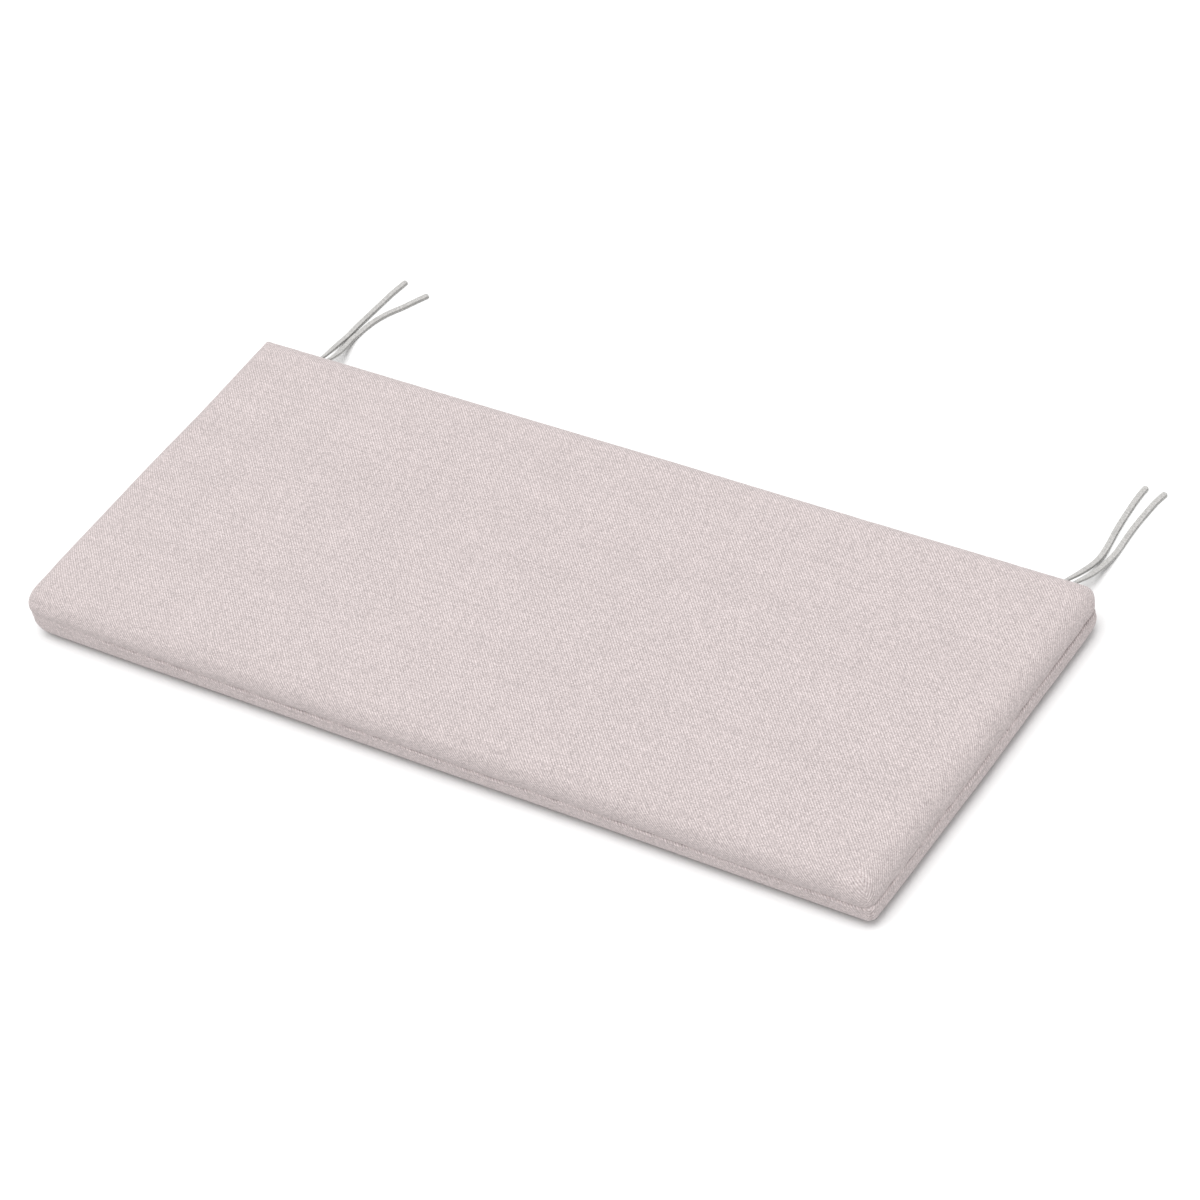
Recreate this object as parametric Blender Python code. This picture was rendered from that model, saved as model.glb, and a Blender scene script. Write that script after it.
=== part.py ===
"""A bench cushion with two folded ties, lying on its back on a flat surface.

Metres, +Z up. The origin is at the centre of the footprint, on the surface that the cushion rests on.
+X runs along the long side and +Y towards the edge that carries the ties.
"""
import math

import bpy

# Cushion: overall sizes.
CUSHION_WIDTH = 1.080
CUSHION_DEPTH = 0.457
EDGE_HEIGHT = 0.0620
CROWN_RISE = 0.0025
CROWN_POWER = 3.0

# Side section, from the surface up. The lower shell rounds up from the flat underside as a quarter
# ellipse, and the upper shell rounds over to the seat face as another one. Insets are measured from the
# widest outline.
CONTACT_INSET = 0.0222
LOWER_ROUND_HEIGHT = 0.0198
EQUATOR_HEIGHT = 0.0364
EQUATOR_INSET = 0.0004
EDGE_ROUND = 0.0240
LOWER_ROUND_STEPS = 6
UPPER_ROUND_STEPS = 7

# Between the two rounds: height, inset, and share of the upper shell's corners and side waves. The
# fourth row is the seam, sewn deeper than the shells beside it.
SEAM_COLUMNS = ("height", "inset", "upper")
SEAM_ROWS = (
    (0.0224, 0.0003, 0.10),
    (0.0245, 0.0009, 0.20),
    (0.0265, 0.0021, 0.35),
    (0.0283, 0.0044, 0.50),
    (0.0301, 0.0023, 0.70),
    (0.0326, 0.0010, 0.85),
)
SECTION_COLUMNS = (*SEAM_COLUMNS, "crown")

# Corners, anticlockwise from the front left: which way each one lies and its radius in each shell. In the
# upper shell a power of 2 is a round corner and 1 is one cut off straight, and the lean is how much longer
# it is along Y than along X. The shells were filled unevenly, so no two corners are quite alike.
CORNER_COLUMNS = ("side_x", "side_y", "lower_radius", "upper_radius", "upper_power", "upper_lean")
CORNERS = (
    (-1, -1, 0.0215, 0.0200, 2.0, 0.0),
    (1, -1, 0.0095, 0.0150, 1.8, 0.0),
    (1, 1, 0.0230, 0.0140, 1.2, 0.25),
    (-1, 1, 0.0120, 0.0063, 2.0, 0.0),
)
SMALLEST_CORNER = 0.0025
CORNER_SHRINK = 0.45

# The seam rises towards the front left corner: how far at that corner, how quickly the rise fades along
# the front, and how far above and below the seam the section rises with it.
SEAM_HEIGHT = 0.0283
SEAM_RISE = 0.0036
SEAM_RISE_POWER = 1.3
SEAM_RISE_REACH = 0.020

# Sides, in the same order, each after its corner: how far the fabric swells out in one, in two and in
# five half waves along the side, for the lower and for the upper shell.
SIDE_HALF_WAVES = (1, 2, 5)
SIDE_SWELLS = (
    {"lower": (0.0000, 0.0003, 0.0002), "upper": (0.0000, 0.0004, 0.0003)},
    {"lower": (0.0014, 0.0003, 0.0002), "upper": (0.0007, 0.0002, 0.0003)},
    {"lower": (0.0002, 0.0002, 0.0002), "upper": (0.0003, -0.0002, 0.0002)},
    {"lower": (0.0002, -0.0002, 0.0002), "upper": (0.0006, -0.0009, 0.0003)},
)

# Gentle unevenness of the seat face: height, waves along X and along Y, and phase of each swell.
TOP_SWELL_COLUMNS = ("height", "waves_x", "waves_y", "phase")
TOP_SWELLS = (
    (0.00040, 2.0, 1.0, 0.6),
    (0.00030, 3.5, 1.5, 2.1),
    (0.00025, 1.0, 2.0, 4.0),
)

CORNER_STEPS = 6
LONG_SIDE_STEPS = 32
SHORT_SIDE_STEPS = 14

# Ties: each is one narrow strip folded in half, with its fold caught in the back seam. Its halves come
# out side by side as two tails, drop to the surface and lie on it with free blunt ends.
TIE_DIAMETER = 0.0064
TIE_POINT_SPACING = 2.5 * TIE_DIAMETER
TIE_BEVEL_RESOLUTION = 3
TIE_REST_HEIGHT = 0.0033
TIE_START_INSET = 0.0

# Route of each tail's centre from the seam to its end: across (X), behind the cushion's back edge, and
# height above the surface. The short rows lie on the surface.
TIE_ROUTES = {
    "tie_left_a": (
        (-0.4812, -TIE_START_INSET, 0.0286), (-0.4818, 0.012, 0.0268), (-0.4835, 0.024, 0.0228),
        (-0.4888, 0.043, 0.0156), (-0.4938, 0.061, 0.0089), (-0.4956, 0.077, 0.0050),
        (-0.4967, 0.094), (-0.4958, 0.110), (-0.4945, 0.126), (-0.4932, 0.143), (-0.4917, 0.161),
        (-0.4890, 0.178), (-0.4880, 0.184),
    ),
    "tie_left_b": (
        (-0.4736, -TIE_START_INSET, 0.0286), (-0.4733, 0.012, 0.0266), (-0.4742, 0.024, 0.0222),
        (-0.4782, 0.042, 0.0148), (-0.4838, 0.061, 0.0086), (-0.4870, 0.076, 0.0052),
        (-0.4866, 0.090), (-0.4847, 0.103), (-0.4808, 0.117), (-0.4741, 0.131), (-0.4655, 0.144),
        (-0.4575, 0.158), (-0.4487, 0.173),
    ),
    "tie_right_a": (
        (0.4850, -TIE_START_INSET, 0.0286), (0.4851, 0.012, 0.0270), (0.4860, 0.021, 0.0243),
        (0.4884, 0.037, 0.0190), (0.4893, 0.059, 0.0112), (0.4884, 0.078, 0.0055),
        (0.4861, 0.098), (0.4833, 0.118), (0.4812, 0.139), (0.4800, 0.158), (0.4794, 0.176),
        (0.4800, 0.187), (0.4802, 0.191),
    ),
    "tie_right_b": (
        (0.4926, -TIE_START_INSET, 0.0286), (0.4938, 0.012, 0.0264), (0.4955, 0.021, 0.0237),
        (0.4978, 0.033, 0.0195), (0.4990, 0.047, 0.0143), (0.4992, 0.064, 0.0088),
        (0.4994, 0.078, 0.0056), (0.4993, 0.094), (0.4986, 0.110), (0.4980, 0.126), (0.4982, 0.142),
        (0.4990, 0.158), (0.5004, 0.175), (0.5026, 0.186), (0.5034, 0.190),
    ),
}

COVER_COLOUR = (0.72, 0.65, 0.63, 1.0)
TIE_COLOUR = (0.66, 0.64, 0.61, 1.0)
FABRIC_ROUGHNESS = 0.9


def clear_scene():
    for item in list(bpy.data.objects):
        bpy.data.objects.remove(item, do_unlink=True)


def fabric_material(name, colour):
    material = bpy.data.materials.new(name)
    material.use_nodes = True
    shader = material.node_tree.nodes["Principled BSDF"]
    shader.inputs["Base Color"].default_value = colour
    shader.inputs["Roughness"].default_value = FABRIC_ROUGHNESS
    shader.inputs["Metallic"].default_value = 0.0
    material.diffuse_color = colour
    return material


def blend(low, high, share):
    return low + (high - low) * share


def side_section():
    """Rows of the side section: height, inset, share of the upper shell, share of the crown's rise."""
    rows = []
    for step in range(LOWER_ROUND_STEPS + 1):
        turn = step / LOWER_ROUND_STEPS * math.pi / 2
        height = LOWER_ROUND_HEIGHT * (1 - math.cos(turn))
        rows.append((height, CONTACT_INSET * (1 - math.sin(turn)), 0.0, 0.0))
    rows.extend((*row, 0.0) for row in SEAM_ROWS)
    for step in range(UPPER_ROUND_STEPS + 1):
        share = step / UPPER_ROUND_STEPS
        turn = share * math.pi / 2
        height = blend(EQUATOR_HEIGHT, EDGE_HEIGHT, math.sin(turn))
        rows.append((height, EQUATOR_INSET + EDGE_ROUND * (1 - math.cos(turn)), 1.0, share ** 2))
    return rows


def side_swell(side, along, upper):
    """How far a side stands out at a share of its length, between the lower and the upper shell."""
    swell = 0.0
    for half_waves, low, high in zip(SIDE_HALF_WAVES, side["lower"], side["upper"]):
        swell += blend(low, high, upper) * math.sin(half_waves * math.pi * along)
    return swell


def ring_outline(inset, upper):
    """One ring, anticlockwise from the start of the front left corner: rounded corners, uneven sides."""
    half_x = CUSHION_WIDTH / 2 - inset
    half_y = CUSHION_DEPTH / 2 - inset
    arcs = []
    for index, corner in enumerate(CORNERS):
        row = dict(zip(CORNER_COLUMNS, corner))
        radius = blend(row["lower_radius"], row["upper_radius"], upper) - CORNER_SHRINK * inset
        radius = max(radius, SMALLEST_CORNER)
        lean = upper * row["upper_lean"]
        radius_x, radius_y = radius * (1 - lean), radius * (1 + lean)
        power = 2 / blend(2, row["upper_power"], upper)
        arc = []
        for step in range(CORNER_STEPS + 1):
            turn = step / CORNER_STEPS * math.pi / 2
            ahead, aside = abs(math.cos(turn)) ** power, abs(math.sin(turn)) ** power
            if index % 2 == 1:
                ahead, aside = aside, ahead
            x = row["side_x"] * (half_x - radius_x + radius_x * ahead)
            y = row["side_y"] * (half_y - radius_y + radius_y * aside)
            arc.append((x, y))
        arcs.append(arc)

    outward = ((0, -1), (1, 0), (0, 1), (-1, 0))
    outline = []
    for index, arc in enumerate(arcs):
        outline.extend(arc)
        start = arc[-1]
        end = arcs[(index + 1) % len(arcs)][0]
        steps = LONG_SIDE_STEPS if index % 2 == 0 else SHORT_SIDE_STEPS
        for step in range(1, steps):
            along = step / steps
            swell = side_swell(SIDE_SWELLS[index], along, upper)
            x = blend(start[0], end[0], along) + outward[index][0] * swell
            y = blend(start[1], end[1], along) + outward[index][1] * swell
            outline.append((x, y))
    return outline


def crown_height(x, y):
    """Rise of the seat face: highest in the middle, nothing at the outline, a little uneven."""
    across = 1 - min(abs(2 * x / CUSHION_WIDTH), 1) ** CROWN_POWER
    deep = 1 - min(abs(2 * y / CUSHION_DEPTH), 1) ** CROWN_POWER
    rise = CROWN_RISE
    for swell in TOP_SWELLS:
        row = dict(zip(TOP_SWELL_COLUMNS, swell))
        turn = 2 * math.pi * (row["waves_x"] * x / CUSHION_WIDTH + row["waves_y"] * y / CUSHION_DEPTH)
        rise += row["height"] * math.sin(turn + row["phase"])
    return rise * across * deep


def seam_rise(x, y, height):
    """How far a ring stands above its section's height: most at the seam, by the front left corner."""
    from_right = min(max(0.5 - x / CUSHION_WIDTH, 0), 1)
    from_back = min(max(0.5 - y / CUSHION_DEPTH, 0), 1)
    near = max(1 - (abs(height - SEAM_HEIGHT) / SEAM_RISE_REACH) ** 2, 0)
    return SEAM_RISE * from_right ** SEAM_RISE_POWER * from_back * near


def border_of_grid(columns, rows):
    """Grid places along the border, anticlockwise from the front left corner."""
    places = [(column, 0) for column in range(columns)]
    places += [(columns, row) for row in range(rows)]
    places += [(column, rows) for column in range(columns, 0, -1)]
    places += [(0, row) for row in range(rows, 0, -1)]
    return places


def grid_point(border, columns, rows, column, row):
    """A point inside the border, blended from the four border points in line with it."""
    u = column / columns
    v = row / rows
    front, back = border[(column, 0)], border[(column, rows)]
    left, right = border[(0, row)], border[(columns, row)]
    corners = (
        (border[(0, 0)], (1 - u) * (1 - v)),
        (border[(columns, 0)], u * (1 - v)),
        (border[(0, rows)], (1 - u) * v),
        (border[(columns, rows)], u * v),
    )
    point = []
    for axis in (0, 1):
        value = blend(front[axis], back[axis], v) + blend(left[axis], right[axis], u)
        value -= sum(corner[axis] * weight for corner, weight in corners)
        point.append(value)
    return point


def cushion():
    """The filled cushion: stacked rings from the flat underside up, closed by the crowned seat face."""
    vertices = []
    rings = []
    for section in side_section():
        row = dict(zip(SECTION_COLUMNS, section))
        ring = []
        for x, y in ring_outline(row["inset"], row["upper"]):
            ring.append(len(vertices))
            rise = row["crown"] * crown_height(x, y) + seam_rise(x, y, row["height"])
            vertices.append((x, y, row["height"] + rise))
        rings.append(ring)

    count = len(rings[0])
    faces = [tuple(reversed(rings[0]))]
    for lower, upper in zip(rings, rings[1:]):
        for index in range(count):
            after = (index + 1) % count
            faces.append((lower[index], lower[after], upper[after], upper[index]))

    columns = LONG_SIDE_STEPS + CORNER_STEPS
    rows = SHORT_SIDE_STEPS + CORNER_STEPS
    first = CORNER_STEPS // 2
    top_ring = rings[-1][first:] + rings[-1][:first]
    places = border_of_grid(columns, rows)
    grid = dict(zip(places, top_ring))
    border = {place: vertices[vertex][:2] for place, vertex in grid.items()}
    for row in range(1, rows):
        for column in range(1, columns):
            x, y = grid_point(border, columns, rows, column, row)
            grid[(column, row)] = len(vertices)
            vertices.append((x, y, EDGE_HEIGHT + crown_height(x, y)))
    for row in range(rows):
        for column in range(columns):
            faces.append((
                grid[(column, row)], grid[(column + 1, row)],
                grid[(column + 1, row + 1)], grid[(column, row + 1)],
            ))

    # The sides swell unevenly, so the finished outline is centred on the origin.
    middle = [(min(v[axis] for v in vertices) + max(v[axis] for v in vertices)) / 2 for axis in (0, 1)]
    vertices = [(x - middle[0], y - middle[1], z) for x, y, z in vertices]

    mesh = bpy.data.meshes.new("cushion")
    mesh.from_pydata(vertices, [], faces)
    mesh.shade_smooth()
    mesh.materials.append(fabric_material("cover_fabric", COVER_COLOUR))
    item = bpy.data.objects.new("cushion", mesh)
    bpy.context.scene.collection.objects.link(item)
    return item


def smooth_route(points, spacing):
    """Evenly spaced points of a smooth curve through the given ones (a Catmull-Rom curve)."""
    steps = 24
    ahead = [2 * a - b for a, b in zip(points[0], points[1])]
    beyond = [2 * a - b for a, b in zip(points[-1], points[-2])]
    guide = [ahead, *points, beyond]
    dense = []
    for p0, p1, p2, p3 in zip(guide, guide[1:], guide[2:], guide[3:]):
        for step in range(steps):
            t = step / steps
            dense.append(tuple(
                0.5 * (2 * b + (c - a) * t + (2 * a - 5 * b + 4 * c - d) * t ** 2
                       + (3 * b - 3 * c + d - a) * t ** 3)
                for a, b, c, d in zip(p0, p1, p2, p3)))
    dense.append(tuple(points[-1]))

    travelled = [0.0]
    for before, after in zip(dense, dense[1:]):
        travelled.append(travelled[-1] + math.dist(before, after))
    count = round(travelled[-1] / spacing)
    route = []
    segment = 0
    for index in range(count + 1):
        wanted = travelled[-1] * index / count
        while segment < len(dense) - 2 and travelled[segment + 1] < wanted:
            segment += 1
        share = (wanted - travelled[segment]) / (travelled[segment + 1] - travelled[segment])
        route.append(tuple(blend(a, b, share) for a, b in zip(dense[segment], dense[segment + 1])))
    return route


def tie_tail(name, rows, material):
    """One free half of a folded tie: a round tube with flat ends along its route."""
    guide = []
    for across, behind, *height in rows:
        z = height[0] if height else TIE_REST_HEIGHT
        guide.append((across, CUSHION_DEPTH / 2 + behind, z))
    route = smooth_route(guide, TIE_POINT_SPACING)

    curve = bpy.data.curves.new(name, "CURVE")
    curve.dimensions = "3D"
    curve.bevel_depth = TIE_DIAMETER / 2
    curve.bevel_resolution = TIE_BEVEL_RESOLUTION
    curve.use_fill_caps = True
    spline = curve.splines.new("POLY")
    spline.points.add(len(route) - 1)
    for point, place in zip(spline.points, route):
        point.co = (*place, 1.0)
    spline.use_smooth = True
    curve.materials.append(material)
    item = bpy.data.objects.new(name, curve)
    bpy.context.scene.collection.objects.link(item)
    return item


clear_scene()
cushion()
for tail_name, tail_rows in TIE_ROUTES.items():
    tie_tail(tail_name, tail_rows, fabric_material(tail_name + "_fabric", TIE_COLOUR))
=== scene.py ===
"""A bench cushion with two folded ties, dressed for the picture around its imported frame.

Metres, +Z up. The origin is at the centre of the footprint, on the surface that the cushion rests on.
+X runs along the long side and +Y towards the edge that carries the ties.
"""

import math
import random

import bpy
import numpy as np
from mathutils import Matrix, Vector


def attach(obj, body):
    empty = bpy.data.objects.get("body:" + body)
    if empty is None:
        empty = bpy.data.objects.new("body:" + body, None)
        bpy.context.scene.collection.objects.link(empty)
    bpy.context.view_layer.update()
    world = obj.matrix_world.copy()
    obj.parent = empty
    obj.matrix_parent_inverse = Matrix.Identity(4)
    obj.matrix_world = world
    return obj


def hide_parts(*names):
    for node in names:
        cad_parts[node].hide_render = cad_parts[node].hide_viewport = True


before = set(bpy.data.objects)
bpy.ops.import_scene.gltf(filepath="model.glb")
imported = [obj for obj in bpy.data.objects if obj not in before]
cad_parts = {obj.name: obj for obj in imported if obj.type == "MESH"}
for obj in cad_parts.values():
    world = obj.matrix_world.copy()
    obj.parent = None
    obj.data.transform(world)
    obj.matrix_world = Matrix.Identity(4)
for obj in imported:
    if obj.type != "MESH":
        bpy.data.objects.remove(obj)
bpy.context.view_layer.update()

# Camera: where it looks from and how the photograph frames the cushion. Angles are in degrees and the
# distance is measured along the line of sight to the origin's plane.
CAMERA_YAW = -44.302
CAMERA_PITCH = 42.121
CAMERA_ROLL = -15.408
CAMERA_DISTANCE = 4.8162
PICTURE_PIXELS = 1200
FOCAL_PIXELS = 4596.0
ORIGIN_PIXEL = (552.14, 629.15)
SENSOR_MM = 36.0
CAMERA_CLIP = (0.1, 50.0)

# Light: an even white dome, and a wide soft lamp from above and a little in front. Floor: pale and matt.
DOME_COLOUR = (1.0, 1.0, 1.0)
DOME_STRENGTH = 0.90
KEY_STRENGTH = 2.13
KEY_DIRECTION = (0.02, -0.12, 0.95)
KEY_ANGLE = 47.0
FLOOR_SIZE = 60.0
FLOOR_COLOUR = (0.79, 0.79, 0.79)

# Cushion: the same overall sizes, section, corners and swells as its solid.
CUSHION_WIDTH = 1.080
CUSHION_DEPTH = 0.457
EDGE_HEIGHT = 0.0620
CROWN_RISE = 0.0025
CROWN_POWER = 3.0
SEAM_HEIGHT = 0.0283

# Side section, from the surface up. The lower shell rounds up from the flat underside as a quarter
# ellipse, and the upper shell rounds over to the seat face as another one. Insets are measured from the
# widest outline.
CONTACT_INSET = 0.0222
LOWER_ROUND_HEIGHT = 0.0198
EQUATOR_HEIGHT = 0.0364
EQUATOR_INSET = 0.0004
EDGE_ROUND = 0.024
SECTION_STEPS = 9

# Between the two rounds: height, inset, and share of the upper shell's corners and swells.
SEAM_ROWS = (
    (0.0224, 0.0003, 0.10),
    (0.0245, 0.0008, 0.20),
    (0.0265, 0.0010, 0.35),
    (SEAM_HEIGHT, 0.0014, 0.50),
    (0.0301, 0.0013, 0.70),
    (0.0326, 0.0009, 0.85),
)

# Corners, anticlockwise from the front left: which way each one lies and its radius in each shell. In the
# upper shell a power of 2 is a round corner and 1 is one cut off straight, and the lean is the share that
# is added to the radius along Y and taken from the one along X. A ring's radii shrink with its inset.
CORNER_COLUMNS = ("side_x", "side_y", "lower_radius", "upper_radius", "upper_power", "upper_lean")
CORNERS = (
    (-1, -1, 0.0215, 0.0200, 2.0, 0.0),
    (1, -1, 0.0095, 0.0150, 1.8, 0.0),
    (1, 1, 0.0230, 0.0140, 1.2, 0.25),
    (-1, 1, 0.0120, 0.0063, 2.0, 0.0),
)
SMALLEST_CORNER = 0.0025
CORNER_SHRINK = 0.45

# The seam rises towards the front left corner: how far at that corner, how quickly the rise fades along
# the front, and how far above and below the seam the section rises with it.
SEAM_RISE = 0.0036
SEAM_RISE_POWER = 1.3
SEAM_RISE_REACH = 0.020

# Sides, in the same order, each after its corner: the way it faces, and how far the fabric swells out
# in one, in two and in five half waves along it, for the lower and for the upper shell.
OUTWARD = np.array(((0, -1), (1, 0), (0, 1), (-1, 0)))
SIDE_HALF_WAVES = (1, 2, 5)
SIDE_SWELLS = (
    {"lower": (0.0000, 0.0003, 0.0002), "upper": (0.0000, 0.0004, 0.0003)},
    {"lower": (0.0014, 0.0003, 0.0002), "upper": (0.0007, 0.0002, 0.0003)},
    {"lower": (0.0002, 0.0002, 0.0002), "upper": (0.0003, -0.0002, 0.0002)},
    {"lower": (0.0002, -0.0002, 0.0002), "upper": (0.0006, -0.0009, 0.0003)},
)

# Swells of the seat face: height, number of waves along X and along Y, and phase.
TOP_SWELL_COLUMNS = ("height", "waves_x", "waves_y", "phase")
TOP_SWELLS = (
    (0.00040, 2.0, 1.0, 0.6),
    (0.00030, 3.5, 1.5, 2.1),
    (0.00025, 1.0, 2.0, 4.0),
)

# Mesh of the cover: steps along each corner, along a long and a short side, and between the points of a
# smooth curve, and how far apart its rings lie, closer together within SEAM_ZONE of the seam.
CORNER_STEPS = 16
SIDE_STEPS = (416, 172)
CURVE_STEPS = 24
RING_SPACING = 0.0024
RING_SPACING_AT_SEAM = 0.00040
SEAM_ZONE = 0.006
SEAM_ZONE_POWER = 1.5

# Cloth simulation of the upper shell, from the seam up. It starts a little slack, and the foam under it
# holds it more firmly on the seat face than round the edges. CLOTH_REACH is the furthest that it moves,
# and SMALLEST_LENGTH stands in for a movement of nothing where one is divided by.
CLOTH_RING_SPACING = 0.0050
CLOTH_FRAMES = 20
CLOTH_PRESSURE = 4.0
CLOTH_SLACK = 0.014
CLOTH_POINT_MASS = 0.28
CLOTH_EVENING_PASSES = 3
CLOTH_REACH = 0.0030
FOAM_HOLD_ON_TOP = 0.75
FOAM_HOLD_AT_EDGE = 0.25
FOAM_HOLD_REACH = 0.050
SMALLEST_LENGTH = 1e-9

# Seam between the shells: a sewn groove with a raised lip under it, both a little uneven along it.
SEAM_DEPTH = 0.0005
SEAM_HALF_WIDTH = 0.00047
SMALLEST_PULL = 0.25
LIP_SWELL = 0.0013
LIP_BELOW_SEAM = 0.0026
LIP_HALF_WIDTH = 0.0014
UNEVEN_WAVELENGTHS = (0.210, 0.083, 0.037, 0.019)
UNEVEN_WAVE_HEIGHT = 0.25
PULL_UNEVENNESS = 1.4
LIP_UNEVENNESS = 0.8

# The seam at each corner: how hard it is pulled in and how far its lip stands out, as shares of the usual,
# how far its fold is filled, and how far along the sides this reaches. By the front left corner the fabric
# closes over the seam: the painted shade along its groove fades out within the first reach of
# HIDDEN_SEAM_END and is whole past the second.
CORNER_SEAM_COLUMNS = ("pull", "lip", "fill", "reach")
CORNER_SEAMS = (
    (0.0, 0.3, 0.0012, 0.100),
    (1.5, 1.0, 0.0, 0.045),
    (4.0, 0.9, -0.0008, 0.120),
    (2.0, 0.4, 0.0, 0.045),
)
FOLD_HALF_WIDTH = 0.0030
HIDDEN_SEAM_END = (-0.540, -0.2285, 0.0319)
HIDDEN_SEAM_REACH = (0.080, 0.200)

# Puckers across the seam, each of random sizes between two limits. PUCKER_RISE is how far the middle of
# one lies above the seam, as a share of PUCKER_REACH.
RANDOM_SEED = 11
PUCKER_SPACING = (0.020, 0.044)
PUCKER_DEPTH = (0.0003, 0.0010)
PUCKER_LENGTH = (0.0035, 0.0090)
PUCKER_SLANT = (-0.6, 0.6)
PUCKER_RISE = (-0.3, 0.5)
PUCKER_REACH = 0.0050

# Upright tucks in the lower shell, one at each corner, and the slots where the ties enter the seam.
TUCK_DEPTH = 0.0016
TUCK_HALF_WIDTH = 0.0016
TUCK_BELOW_SEAM = 0.026
TUCK_FADE_POWER = 0.7
TIE_SLOT_DEPTH = 0.0016
TIE_SLOT_HALF_LENGTH = 0.0085
TIE_SLOT_HALF_HEIGHT = 0.0022

# Short creases near the corners of the upper shell: corner, distance along the side from the corner's
# middle (front or left side negative), height of its middle above the seam, length, slant and depth.
CREASE_COLUMNS = ("corner", "along", "above_seam", "length", "slant", "depth")
CREASES = (
    (1, -0.0110, 0.0150, 0.0110, 0.35, 0.0009),
    (1, 0.0150, 0.0180, 0.0090, -0.30, 0.0008),
    (0, 0.0140, 0.0130, 0.0100, -0.30, 0.0007),
    (0, -0.0120, 0.0140, 0.0090, 0.25, 0.0007),
    (2, -0.0130, 0.0150, 0.0110, 0.30, 0.0009),
    (2, 0.0140, 0.0150, 0.0100, -0.25, 0.0007),
    (3, -0.0090, 0.0140, 0.0090, 0.30, 0.0006),
    (3, 0.0110, 0.0140, 0.0090, -0.30, 0.0006),
)
CREASE_HALF_WIDTH = 0.0013

# Fabric of the cover: distance between neighbouring threads along X and along Y, its two colours, its
# relief in metres, and a faint mottling in spots to the metre.
THREAD_PITCH = (0.00093, 0.00090)
WARP_COLOUR = (0.400, 0.343, 0.338)
WEFT_COLOUR = (0.540, 0.482, 0.478)
COVER_RELIEF = 0.00022
MOTTLE_SCALE = 22.0
MOTTLE_DETAIL = 3.0
MOTTLE_SPREAD = 0.07

# Painted shade along the seam's groove, broken into dashes: it is stronger where a noise is above a limit.
DASH_SCALE = 45.0
DASH_DETAIL = 1.0
DASH_LIMIT = 0.52
DASH_SOFTNESS = 0.05
DASH_STRENGTH = 1.6
LEAST_DASH = 0.02

# How each shell's flat face lies in its own cloth, right side out: which way X and Y run, and a shift.
UPPER_WEAVE = ((1, 1), (0.0, 0.0))
LOWER_WEAVE = ((1, -1), (0.0213, 0.0127))

# Fabric of the ties, with painted shade along the side that holds the sewn edge: darkest there and lighter
# by EDGE_SHADE_SLOPE for each metre from it.
TIE_THREAD_PITCH = (0.00070, 0.00070)
TIE_WARP_COLOUR = (0.375, 0.368, 0.355)
TIE_WEFT_COLOUR = (0.470, 0.463, 0.452)
TIE_RELIEF = 0.00016
EDGE_SHADE = 0.62
EDGE_SHADE_SLOPE = 420.0
EDGE_SHADE_SOFTNESS = 0.15

# Both fabrics are two over two twills, so the weave repeats after four threads. A float, the length of
# thread that lies on top, is a hump that stands highest in its middle. Spreads are shares of the colour,
# and the two chances keep the random numbers of floats and whole threads apart.
TWILL_REPEAT = 4.0
LEAST_HUMP = 0.4
HUMP_RISE = 0.6
RELIEF_POWER = 0.6
FLOAT_COLOUR_SPREAD = 0.38
THREAD_COLOUR_SPREAD = 0.12
FLOAT_CHANCE = 1.0
THREAD_CHANCE = 7.0
# Painted shade in the weave's hollows: the colour is darkest, by SHADE_BETWEEN_THREADS, between the threads
# and lighter by SHADE_RISE to their tops.
SHADE_BETWEEN_THREADS = 0.80
SHADE_RISE = 0.30

# Finish of both fabrics. The roughness falls a little from between the threads to their tops.
BUMP_STRENGTH = 0.7
ROUGHNESS = 0.95
ROUGHNESS_RISE = -0.10
SPECULAR_LEVEL = 0.25
SHEEN_WEIGHT = 0.12
SHEEN_ROUGHNESS = 0.5

# Ties: each is a strip folded in half, with its fold caught in the back seam. Its halves come out side
# by side as two tails, drop to the surface and lie on it with free blunt ends.
TIE_WIDTH = 0.0068
TIE_THICKNESS = 0.0042
TIE_CORNER_POWER = 3.0
TIE_EDGE_DEPTH = 0.0008
TIE_EDGE_HALF_TURN = 0.28
TIE_END_LENGTH = TIE_THICKNESS / 4
TIE_END_TAPER = 0.22
TIE_ROOT_WIDTH = 0.0032
TIE_ROOT_THICKNESS = 0.0026
TIE_ROOT_LENGTH = 0.060
TIE_ROOT_DEPTH = 0.0034
TIE_ROOT_HEIGHT = SEAM_HEIGHT + 0.0004
TIE_PATH_STEPS = 32
TIE_RINGS_PER_STEP = 3
TIE_SIDES = 28

# Where each pair of tails leaves the seam along X.
TIE_MIDDLES = (-0.4775, 0.4888)

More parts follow.
